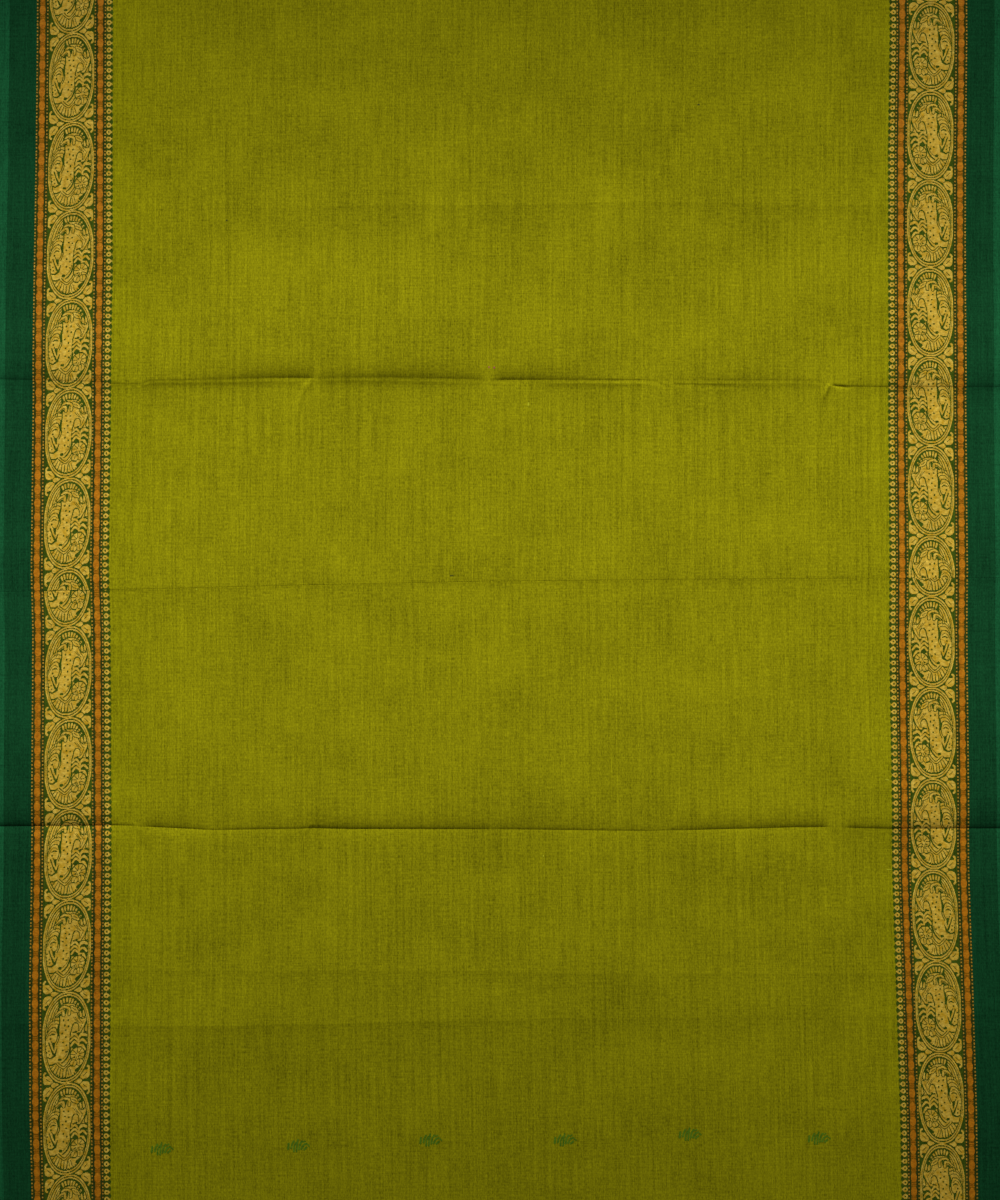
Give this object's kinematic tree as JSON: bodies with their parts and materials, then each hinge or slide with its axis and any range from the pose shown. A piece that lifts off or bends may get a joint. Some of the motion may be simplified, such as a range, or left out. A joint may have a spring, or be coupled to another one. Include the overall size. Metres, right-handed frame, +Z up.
{
  "type": "folded cotton sari",
  "caption": "Plain-woven cotton sari folded back and forth into a flat stack, face up, with packing creases and a figured border along each selvedge.",
  "frame": {"origin": "middle of the folded stack, on the surface that it rests on", "axes": "+X across the cloth towards its right selvedge, +Y along the cloth towards the stack's far end, +Z up out of the cloth's face"},
  "size_m": [1.1624, 1.3826, 0.0122],
  "materials": {
    "cotton": "matte plain weave, olive green, with a faint sheen"
  },
  "bodies": {
    "root": {"folded_sari": "cotton"}
  },
  "joints": []
}
